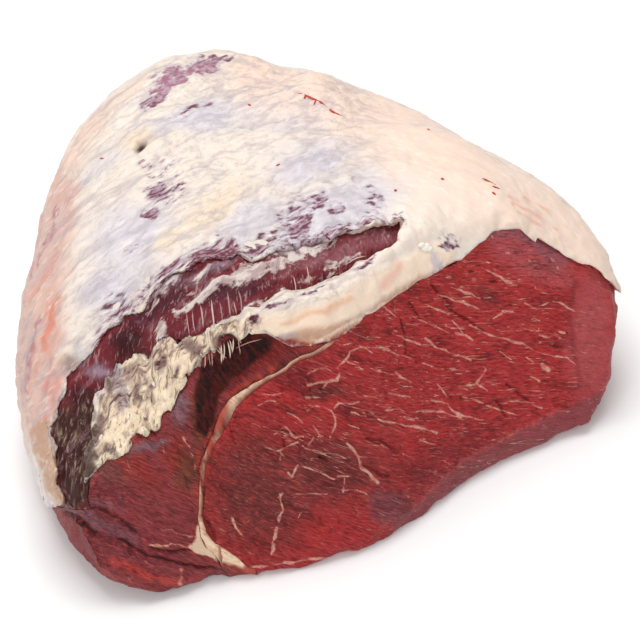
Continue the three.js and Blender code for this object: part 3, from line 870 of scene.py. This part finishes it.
colour = washed(colour, upright, 0.55, 0.68, 0.5, "c2a09c")
colour = washed(colour, upright, 0.45, 0.34, 0.4, "2a0a0e")
flecks = streaks(tree, 0.0050, 0.0024, 4.0)
lit = plus(mask_of(tree, "veiled"), times(maths("SUBTRACT", flecks, 0.58), 3.6))
veil = blend(rise(cloudy, 0.4, 0.6), rgb("c0a8a6"), rgb("e8dcd4"))
colour = blend(times(rise(lit, 0.2, 1.0), 0.85), colour, veil)
strands = streaks(tree, 0.0026, 0.044, 1.5)
strand = blend(rise(strands, 0.57, 0.76), rgb("50342a"), rgb("a08a72"))
colour = blend(times(rise(strands, 0.48, 0.6), mask_of(tree, "browned")), colour, strand)
coloured(shader, colour)
embossed(shader, plus(upright, cloudy), 0.0013)
skins.append((points, tris))
cap_band = piece("cap_band", points, tris, masks, made)
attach(cap_band, "root")
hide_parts("cap_muscle")
bared_cap = tree_of([(points, tris[(open_air[tris] > 1.2 * MM).all(1)])])

# The fat cover is the cream-white skin of fat over the top, sides and back, smooth and peach at the
# right, creased and bluish over the cap muscle, which shows through in purple where the fat is thin.
# The cap muscle shows through the fat in the first blobs and nearly shows in the second.
CAP_SHOWS = [
    (178, 74, 30, 11, 12), (166, 85, 18, 7, 20), (215, 58, 24, 4.5, 10), (156, 98, 22, 6, 32),
    (205, 66, 16, 6, 10), (158, 192, 16, 12, 40), (152, 213, 12, 5, 10), (317, 202, 14, 8, 50),
    (299, 225, 16, 10, 50), (258, 246, 21, 11, 45), (270, 236, 10, 6, 30), (205, 268, 26, 10, 30),
    (185, 282, 28, 10, 30), (165, 291, 26, 10, 30), (369, 197, 7, 4, -20), (447, 246, 10, 6, 0),
    (396, 216, 7, 8, 0), (236, 255, 14, 8, 35), (366, 265, 17, 3.4, 32), (311, 291, 15, 3, 25),
    (275, 304, 15, 3, 20), (253, 321, 8, 3, 35),
]
CAP_NEARLY_SHOWS = [
    (162, 166, 26, 12, 20), (168, 186, 22, 20, 0), (240, 262, 40, 14, 35), (200, 260, 50, 20, 30),
    (160, 282, 46, 16, 35), (376, 205, 26, 12, -60), (338, 208, 12, 8, 0), (448, 238, 16, 9, -20),
    (330, 232, 30, 10, 30), (290, 246, 36, 10, 35), (130, 248, 18, 5, 20), (295, 215, 40, 20, 50),
    (110, 300, 24, 10, 50), (190, 110, 30, 5, 20), (352, 175, 5, 3, -30), (144, 160, 10, 6, 30),
]
SHREDDED = [
    (112, 356), (140, 338), (175, 332), (205, 328), (240, 316), (262, 320), (252, 338), (217, 352),
    (200, 366), (190, 390), (180, 400), (168, 420), (150, 438), (130, 450), (107, 476), (96, 478),
    (92, 440), (98, 405), (105, 380),
]
FLANK = [
    (58, 168), (78, 190), (70, 250), (66, 320), (64, 380), (54, 420), (44, 440), (28, 450), (10, 400),
    (10, 330), (25, 250), (38, 200),
]
TOP_EDGE = [
    (270, 62), (320, 74), (370, 97), (450, 152), (520, 192), (590, 242), (614, 290),
]
FOLDS = [
    (5, [(226, 62), (248, 60), (270, 67)]), (4, [(222, 73), (246, 75), (262, 72)]),
    (5, [(180, 92), (200, 86), (224, 82)]), (5, [(128, 140), (134, 128), (152, 124)]),
    (5, [(150, 150), (160, 140), (184, 130)]), (6, [(176, 178), (206, 156), (244, 136)]),
    (7, [(206, 222), (250, 190), (300, 160)]), (6, [(226, 240), (262, 216), (296, 200)]),
    (6, [(276, 252), (304, 236), (330, 216)]), (6, [(120, 270), (146, 250), (176, 236)]),
    (5, [(110, 236), (124, 216), (136, 190)]), (5, [(236, 276), (262, 262), (284, 254)]),
    (6, [(120, 112), (146, 96), (170, 100)]), (6, [(84, 300), (104, 270), (130, 240)]),
    (5, [(334, 232), (356, 220), (380, 206)]),
]
RIDGE = [(252, 331), (290, 324), (320, 317), (345, 306), (370, 291), (395, 275), (420, 264), (440, 256)]
RIDGE_FOOT = [(252, 338), (300, 345), (330, 341), (350, 329), (385, 305), (405, 291), (440, 273)]
RIDGE_RIM = [(384, 305), (372, 312), (358, 319), (345, 327), (330, 336), (316, 341)]
UNDER_RIDGE = [(256, 338), (270, 337), (290, 340), (313, 343), (330, 339), (345, 331), (360, 322),
               (376, 314), (390, 306), (396, 312), (352, 350), (300, 358), (256, 356)]
WHOLE_FAT = [(120, 470), (135, 440), (165, 410), (188, 385)]
PIT = (140, 146, 8, 5, 40)
BAND_MIDDLE = [
    (50, 450), (75, 400), (97, 365), (125, 340), (160, 318), (200, 300), (250, 285), (300, 272),
    (350, 255), (402, 231),
]
FRONT_EDGE = 1.5 * MM
BACK_EDGE = 2.6 * MM


def fat_fineness(points):
    """Short edges where the photograph looks, longer ones round the back."""
    return np.where(0.6 * points[:, 2] - points[:, 1] > -20 * MM, FRONT_EDGE, BACK_EDGE)


points, tris, open_air = fleshed("fat_cap", [(6 * MM, 10), (fat_fineness, 12)], 0.5 * MM, 3 * MM)
out, seen, view, spots, close = looked_at(points, tris, (6, 14 * MM, 10), (4, 5 * MM, 30))
behind = 1 - view
fibre = fibre_of(points, SIDEWAYS, SIGHT_UP, TOP_SLOPES)
free = ease(open_air, 0.5 * MM, 2.4 * MM)
right = view * ease(spots[:, 0], 330, 420)
shredded = view * in_area(close, SHREDDED, 10)
flank = in_view(points, out, -0.4, 0.2) * in_area(spots, FLANK, 24)
ridge = view * by_line(seen, RIDGE, 13, 10)
smooth = np.maximum(np.maximum(right, ridge), 0.55 * behind)
beside = 1 - ease(clear_of(points, bared_cap, 18 * MM), 3 * MM, 17 * MM)
beside *= ease(np.interp(seen[:, 0], *np.array(BAND_MIDDLE).T) - seen[:, 1], 0, 8) * view
beside *= 0.25 + 0.75 * ease(seen[:, 0], 60, 100)
lumps = grain(fibre, ALONG, 38 * MM, 12 * MM, 3, 11)
wrinkles = grain(fibre, ALONG, 15 * MM, 6 * MM, 3, 12)
# The valleys of the lumps and wrinkles, where grey painted shade is laid on the fat.
crack = (1 - ease(np.abs(lumps), 0.0, 0.22)) * (1 - smooth)
crease = (1 - ease(np.abs(wrinkles), 0.0, 0.18)) * (1 - smooth)
rags = grain(fibre, ACROSS, 13 * MM, 3.6 * MM, 3, 13)
edge_of_slot = beside * (0.7 + 1.1 * grain(fibre, ALONG, 24 * MM, 9 * MM, 2, 55))
thready = shredded * (1 - by_line(spots, WHOLE_FAT, 26, 20))
thin_behind = ease(grain(fibre, ALONG, 34 * MM, 13 * MM, 3, 50), 0.5, 1.0)
bare = view * np.maximum.reduce([in_blobs(close, *CAP_SHOWS), 0.5 * in_blobs(spots, *CAP_NEARLY_SHOWS),
                                 0.9 * edge_of_slot])
bare = np.maximum.reduce([bare, 0.42 * thready, 0.8 * behind * thin_behind])
# The pit, sunk into the fat and painted with shade.
pits = view * in_blobs(seen, PIT)
height = (1 - smooth) * (2.2 * (np.minimum(np.abs(lumps), 0.8) - 0.4) + 0.9 * (np.abs(wrinkles) - 0.3))
height += 0.5 * clouds(points, 26 * MM, 2, 17)
height += shredded * (2.1 * rags + 1.2 * clouds(points, 9 * MM, 2, 56))
height += flank * grain(fibre, ACROSS, 30 * MM, 6 * MM, 3, 16)
height += view * traced(seen, FOLDS)
height += 1.8 * ridge - 2.4 * np.sqrt(beside) - 0.9 * bare - 3.5 * pits
height = np.maximum(height * MM, 0.8 * MM - open_air)
points = torn(points + out * (free * height)[:, None], open_air)
tint = tinted(
    points, "ecddcf",
    bluish=("d6cfd4", 0.6 * ease(grain(fibre, ALONG, 60 * MM, 26 * MM, 3, 51), -0.1, 0.6) * (1 - right)),
    bluish_patches=("d4ced6", 0.8 * view * in_blobs(
        spots, (330, 212, 90, 34, 25), (130, 240, 50, 40, 30), (110, 285, 40, 26, 40),
        (310, 165, 50, 18, 25), (190, 118, 50, 16, 20), (250, 222, 40, 18, 30))),
    creamy_patches=("ecd6bc", 0.9 * view * in_blobs(
        spots, (212, 210, 44, 18, 35), (140, 300, 24, 14, 40), (140, 140, 22, 12, 20),
        (170, 240, 22, 10, 30), (245, 68, 26, 8, -10))),
    peach_top=("f2d6c4", 0.9 * np.maximum(view * by_line(spots, TOP_EDGE, 48, 60),
                                          behind * ease(points[:, 0], -40 * MM, 60 * MM))),
    peach_left=("ecc8b2", 0.7 * view * by_line(spots, [(56, 170), (72, 140), (100, 100), (130, 76)], 16, 24)),
    # The flank's own pink, painted darker too as the shade of the side turned away from the light.
    pink_flank=("d6aea0", 0.85 * flank),
    flank_streaks=("cc7c6c", 0.45 * flank * ease(grain(fibre, ACROSS, 40 * MM, 7 * MM, 3, 52), 0.0, 0.8)),
    flank_orange=("dc8464", 0.8 * flank * by_line(
        close, [(58, 300), (52, 312), (47, 328), (45, 350)], 2.6, 4)),
    flank_red=("d88878", 0.7 * flank * np.maximum(
        by_line(close, [(64, 362), (56, 384), (50, 404), (44, 424)], 3.5, 6),
        in_blobs(close, (46, 386, 5, 8, 0)))),
    flank_purple=("a8606a", 0.7 * flank * np.maximum(
        by_line(close, [(37, 318), (32, 340), (29, 362), (25, 390)], 2.6, 4),
        by_line(close, [(56, 206), (53, 228), (44, 246), (38, 266)], 1.4, 2))),
    # Grey painted shade in the valleys of the lumps and wrinkles.
    cracks=("aa9ea6", 0.45 * crack * (1 - shredded)),
    wrinkles=("b4a8ae", 0.4 * crease * (1 - shredded)),
    rags=("f2dabb", 0.95 * shredded),
    grey_by_rags=("a094a0", 0.85 * view * in_blobs(close, (116, 378, 10, 26, 0), (122, 400, 10, 14, 0))),
    # Painted shade in the low places between the rags.
    between_rags=("9c8276", 0.8 * shredded * ease(-rags, 0.15, 0.7)),
    brown_border=("4a3428", 0.85 * view * by_line(
        close, [(106, 384), (98, 408), (94, 436), (91, 470)], 8, 6)
        * ease(grain(fibre, ACROSS, 26 * MM, 3 * MM, 2, 57), -0.35, 0.2)),
    # Lean showing in the pockets between the rags, darkened as painted shade.
    lean_between_rags=("4c2228", 0.9 * view * in_blobs(
        close, (138, 392, 3, 15, -5), (163, 366, 4, 8, 0), (205, 378, 5, 9, 0), (188, 345, 12, 7, -20),
        (224, 339, 15, 7, 0), (110, 450, 8, 6, 0), (176, 374, 3, 9, 0), (240, 336, 10, 4, 20),
        (152, 400, 3, 8, 0))),
    brown_patch=("8a6a62", 0.75 * view * in_blobs(close, (75, 366, 13, 17, 60))),
    tan_edge=("c0967a", 0.9 * view * by_line(close, [(40, 432), (46, 460), (54, 485), (64, 504)], 9, 8)),
    brown_edge=("8c6c58", 0.7 * view * by_line(close, [(62, 392), (54, 420), (56, 450), (64, 486)], 3, 4)),
    dried_edge=("4a2a20", 0.9 * view * by_line(close, [(101, 416), (93, 440), (88, 466), (92, 490)], 6, 6)),
    ridge=("fce2ca", 0.95 * ridge),
    # Painted shade on the ridge's lower side and at its foot.
    ridge_foot=("c08864", 0.8 * view * by_line(seen, RIDGE_FOOT, 6, 9) * ease(seen[:, 0], 256, 300)),
    ridge_shade=("cc9876", 0.8 * view * in_blobs(seen, (318, 333, 44, 9, 12))),
    ridge_peach=("ecb690", 0.7 * view * by_line(spots, [(284, 322), (318, 311), (345, 301)], 3, 5)),
    ridge_pink=("f0b4a4", 0.6 * view * by_line(spots, [(378, 286), (388, 272), (400, 262)], 4, 6)),
    # Grey painted shade along the fold under the ridge.
    ridge_grey=("a8a0a8", 0.7 * view * by_line(close, [(262, 334), (276, 338), (296, 337)], 2.5, 4)),
    grey_patch=("ccc2ca", 0.8 * view * in_blobs(close, (436, 262, 6, 14, 20))),
    pink_scratches=("f09a86", 0.7 * view * np.maximum.reduce([
        by_line(seen, [(508, 197), (530, 206), (550, 219)], 1.4, 3),
        by_line(seen, [(512, 204), (534, 214), (556, 230)], 1.4, 3),
        by_line(seen, [(524, 198), (546, 209), (566, 227)], 1.0, 3),
        by_line(seen, [(518, 212), (540, 225)], 1.0, 3)])
        * ease(grain(points, (1, -0.4, -0.4), 16 * MM, 3 * MM, 2, 58), -0.5, 0.2)),
    lean_under_ridge=("9a2c2a", 0.95 * view * in_area(seen, UNDER_RIDGE, 3)),
    ridge_rim=("f4d6c0", 0.9 * view * by_line(wandering(points, seen, 1.2, 6 * MM, 36), RIDGE_RIM, 1.4, 1.6)),
    # Painted shade in the pit.
    pits=("3c140c", pits),
)
under = tinted(
    points, "6e3c4a",
    paler_at_top=("a26c7c", in_blobs(spots, (175, 76, 50, 30, 10))),
    by_the_slot=("6c2c38", beside),
    under_the_rags=("542430", shredded),
)
masks = {
    "tint": tint, "fibre": fibre, "bare": bare, "rough": 1 - 0.8 * smooth, "under": under,
    "blood": 0.6 * flank * in_blobs(close, (51, 318, 5, 22, -15), (46, 382, 5, 12, 0)),
    "shredded": shredded,
}
made, tree, shader = material_of(
    "fat_cream", Roughness=0.5, Specular_IOR_Level=0.3, Subsurface_Weight=0.12,
    Subsurface_Radius=(0.006, 0.003, 0.002), Subsurface_Scale=1.0)
long_streaks = streaks(tree, 0.026, 0.008, 4.0)
fine = streaks(tree, 0.0052, 0.0026, 5.0)
ragged = plus(times(long_streaks, 0.35), times(fine, 0.65))
colour = colour_of(tree, "tint")
# Grey painted shade in the hollows of the fat's relief.
hollow = times(rise(ragged, 0.5, 0.36), mask_of(tree, "rough"))
colour = blend(times(hollow, 0.3), colour, rgb("b0a2a8"))
colour = washed(colour, ragged, 0.52, 0.68, 0.45, "fbf2e8")
drips = streaks(tree, 0.0022, 0.012, 3.0)
# Brown painted shade in the slots between the drips of the rags.
between = times(rise(drips, 0.46, 0.34), mask_of(tree, "shredded"))
colour = blend(times(between, 0.75), colour, rgb("6a4a40"))
veil = blend(mask_of(tree, "shredded"), rgb("b8a8b4"), rgb("a88c80"))
broken = times(maths("SUBTRACT", 0.5, ragged), 3.6)
shows = plus(mask_of(tree, "bare"), times(broken, rise(mask_of(tree, "bare"), 0.0, 0.35)))
colour = blend(times(rise(shows, 0.15, 0.7), 0.7), colour, veil)
purple = washed(colour_of(tree, "under"), fine, 0.42, 0.56, 0.6, "c0a6b4")
colour = blend(rise(shows, 0.42, 0.95), colour, purple)
stain = plus(mask_of(tree, "blood"), maths("SUBTRACT", ragged, 0.5))
coloured(shader, washed(colour, stain, 0.4, 0.9, 0.6, "c8604c"))
relief = times(plus(long_streaks, times(fine, 0.5)), mask_of(tree, "rough"))
embossed(shader, plus(relief, times(drips, mask_of(tree, "shredded"))), 0.0020)
skins.append((points, tris))
fat_cover = piece("fat_cover", points, tris, masks, made)
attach(fat_cover, "root")
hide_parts("fat_cap")

# Where the fat was pulled off, fine pale threads of tissue still cross the slot and shreds of fat hang
# over the lean, and a few threads of blood lie on the fat. Each is a narrow strip that rests on the
# meat where the photograph shows it and thins out towards its ends.
surface = tree_of(skins)
chance = np.random.RandomState(7)


def at_pixel(across, down):
    """The place on the meat that a pixel of the photograph shows, and the way out of it there."""
    sight = (-SIGHT_BACK + SIDEWAYS * (across - PHOTO_SIDE / 2) / FOCAL
             - SIGHT_UP * (down - PHOTO_SIDE / 2) / FOCAL)
    place, out = surface.ray_cast(Vector(EYE), Vector(sight))[:2]
    return (np.array(place), np.array(out)) if place is not None else None


PIXELS_A_STEP = 3
FEWEST_STEPS = 5
WIDEST_STEP = 6 * MM
AROUND = 6
BLUNT_END = 0.15


def strip(line, half_width, thick, lift=0.0):
    """A thin closed strip along a line of pixels: points and triangles, or None off the meat."""
    line = np.array(line, float)
    reach = np.concatenate(([0], np.cumsum(np.linalg.norm(np.diff(line, axis=0), axis=1))))
    stations = np.linspace(0, reach[-1], max(FEWEST_STEPS, int(reach[-1] / PIXELS_A_STEP)))
    found = [at_pixel(np.interp(s, reach, line[:, 0]), np.interp(s, reach, line[:, 1])) for s in stations]
    if any(f is None for f in found):
        return None
    path = np.array([f[0] for f in found])
    out = np.array([f[1] for f in found])
    if np.linalg.norm(np.diff(path, axis=0), axis=1).max() > WIDEST_STEP:
        return None
    for _ in range(2):
        path[1:-1] = (path[:-2] + 2 * path[1:-1] + path[2:]) / 4
    along = np.gradient(path, axis=0)
    along /= np.linalg.norm(along, axis=1)[:, None]
    side = np.cross(out, along)
    side /= np.linalg.norm(side, axis=1)[:, None]
    up = np.cross(along, side)
    share = np.linspace(0, 1, len(path))
    swell = np.clip(np.sin(np.pi * share) * 1.7, BLUNT_END, 1)
    middle = path + up * (thick * 0.3 + lift * np.sin(np.pi * share))[:, None]
    rings = [middle + side * (np.cos(turn) * half_width * swell)[:, None]
             + up * (np.sin(turn) * thick * swell)[:, None]
             for turn in np.arange(AROUND) * np.pi / (AROUND / 2)]
    points = np.stack(rings, 1).reshape(-1, 3)
    tris = []
    for i in range(len(path) - 1):
        for j in range(AROUND):
            a, b = AROUND * i + j, AROUND * i + (j + 1) % AROUND
            tris += [(a, b, a + AROUND), (b, b + AROUND, a + AROUND)]
    last = AROUND * (len(path) - 1)
    for j in range(1, AROUND - 1):
        tris += [(0, j + 1, j), (last, last + j, last + j + 1)]
    return points, np.array(tris)


def strips(name, gloss, laid):
    """One piece out of many strips, each with its own colour."""
    laid = [(shade, made) for shade, made in laid if made is not None]
    points, tris = joined([made for _, made in laid])
    tint = np.concatenate([np.tile(rgb(shade), (len(made[0]), 1)) for shade, made in laid])
    material, tree, shader = material_of(name, Roughness=gloss, Specular_IOR_Level=0.3)
    coloured(shader, colour_of(tree, "tint"))
    shreds = piece(name, points, tris, {"tint": tint}, material)
    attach(shreds, "root")


SWAY = 0.07


def straggling(start, heading, length):
    """Pixels of a line that starts at a pixel and sways about a heading in degrees up from right."""
    line = [np.array(start, float)]
    turn = np.radians(heading)
    bend = chance.normal(0, SWAY)
    for _ in range(4):
        turn += bend + chance.normal(0, SWAY)
        line.append(line[-1] + length / 4 * np.array((np.cos(turn), -np.sin(turn))))
    return line


# Each upright thread of the slot: pixels across, down to its top and to its foot, and half width in mm.
UPRIGHTS = [
    (202, 305, 326, 0.55), (213, 300, 326, 0.5), (229, 292, 317, 0.5), (240, 291, 311, 0.45),
    (188, 313, 333, 0.3), (194, 312, 331, 0.3), (207, 310, 328, 0.3), (221, 302, 320, 0.3),
    (235, 301, 313, 0.25), (249, 296, 308, 0.3), (262, 291, 304, 0.25), (295, 276, 292, 0.35),
    (308, 265, 283, 0.35), (271, 290, 300, 0.25), (321, 270, 281, 0.25),
]
TANGLE = [
    [(340, 250), (343, 258), (347, 264), (354, 274), (364, 263)],
    [(347, 264), (356, 258), (366, 256)],
    [(340, 262), (352, 266), (362, 262)],
]
threads = []
for across, top, foot, wide in UPRIGHTS:
    line = [(across - 1.5, top), (across + chance.normal(0, 0.5), (top + foot) / 2), (across + 1.5, foot + 2)]
    shade = chance.choice(["bc9494", "c8aaa6", "a87c7c"])
    threads.append((shade, strip(line, wide * MM, 0.3 * MM, 0.2 * MM)))
for line in TANGLE:
    threads.append(("c8b0aa", strip(line, 0.35 * MM, 0.3 * MM, 0.2 * MM)))
strips("slot_threads", 0.4, threads)

SHRED_ROOTS = np.arange(206, 242, 3.0)
SHRED_EDGE = [(204, 356), (222, 344), (240, 335)]
HANGING_DOWN = -70
LONE_SHRED = [(236, 348), (248, 342), (262, 339)]
# A loose white flake of fat at the right end of the slot: half widths in mm, and lines of pixels.
FLAKE = [
    (2.4, [(421, 250), (426, 247), (431, 246)]), (1.4, [(418, 246), (425, 244)]),
    (1.5, [(425, 250), (433, 248)]),
]
shreds = []
for across in SHRED_ROOTS:
    start = (across + chance.normal(0, 1), np.interp(across, *np.array(SHRED_EDGE).T))
    line = straggling(start, HANGING_DOWN + chance.normal(0, 7), chance.uniform(9, 20))
    shade = chance.choice(["c8a494", "b08478", "dcc0b0"])
    shreds.append((shade, strip(line, chance.uniform(0.25, 0.45) * MM, 0.25 * MM, 0.3 * MM)))
shreds.append(("b89080", strip(LONE_SHRED, 0.3 * MM, 0.25 * MM, 0.3 * MM)))
for wide, line in FLAKE:
    shreds.append(("f2ebe0", strip(line, wide * MM, 1.0 * MM, 0.4 * MM)))
strips("fat_shreds", 0.5, shreds)

# Threads of blood on the fat: how wide each is, and the pixels that it passes through.
BLOOD = [
    (0.5, [(298, 93), (306, 95), (312, 99), (320, 101), (326, 106)]),
    (0.5, [(326, 106), (332, 112), (342, 116)]), (0.4, [(306, 95), (304, 99)]),
    (0.4, [(316, 100), (314, 105)]), (0.7, [(394, 190), (397, 191)]), (0.6, [(441, 178), (444, 180)]),
    (0.6, [(427, 129), (430, 130)]), (0.5, [(492, 192), (496, 195)]),
    (0.7, [(482, 178), (490, 182), (496, 185)]), (0.5, [(492, 186), (500, 189)]),
    (0.5, [(248, 104), (251, 106)]), (0.4, [(276, 166), (280, 164)]), (0.4, [(100, 158), (104, 159)]),
    (0.4, [(222, 261), (226, 262)]),
]
strips("blood_threads", 0.35,
       [("b83c2c", strip(line, 1.5 * wide * MM, 0.25 * MM)) for wide, line in BLOOD])

# The studio: a pale floor that the meat lies on, a white surround, and two broad soft lights, one high
# above the meat and one in front of it at the left.
FLOOR_HALF = 3.0
FLOOR_WHITE = (0.97, 0.97, 0.97, 1)
SURROUND_WHITE = (1, 1, 1, 1)
SURROUND_STRENGTH = 0.52
made, tree, shader = material_of("pale_floor", Roughness=0.9, Specular_IOR_Level=0.1, Base_Color=FLOOR_WHITE)
floor = piece("floor", FLOOR_HALF * np.array([(-1, -1, 0), (1, -1, 0), (1, 1, 0), (-1, 1, 0)], float),
              np.array([(0, 1, 2), (0, 2, 3)]), {}, made)
world = bpy.data.worlds.new("surround")
world.use_nodes = True
world.node_tree.nodes["Background"].inputs["Color"].default_value = SURROUND_WHITE
world.node_tree.nodes["Background"].inputs["Strength"].default_value = SURROUND_STRENGTH
bpy.context.scene.world = world
for label, place, side, power in (("soft_top", (-0.2, 0.3, 1.5), 1.0, 15),
                                  ("soft_front", (-0.6, -1.5, 1.1), 1.1, 9.5)):
    lamp_data = bpy.data.lights.new(label, "AREA")
    lamp_data.shape = "SQUARE"
    lamp_data.size = side
    lamp_data.energy = power
    lamp = bpy.data.objects.new(label, lamp_data)
    lamp.location = place
    lamp.rotation_mode = "QUATERNION"
    lamp.rotation_quaternion = (Vector(place) - Vector(AIM)).to_track_quat("Z", "Y")
    bpy.context.scene.collection.objects.link(lamp)
bpy.context.scene.view_settings.view_transform = "Standard"
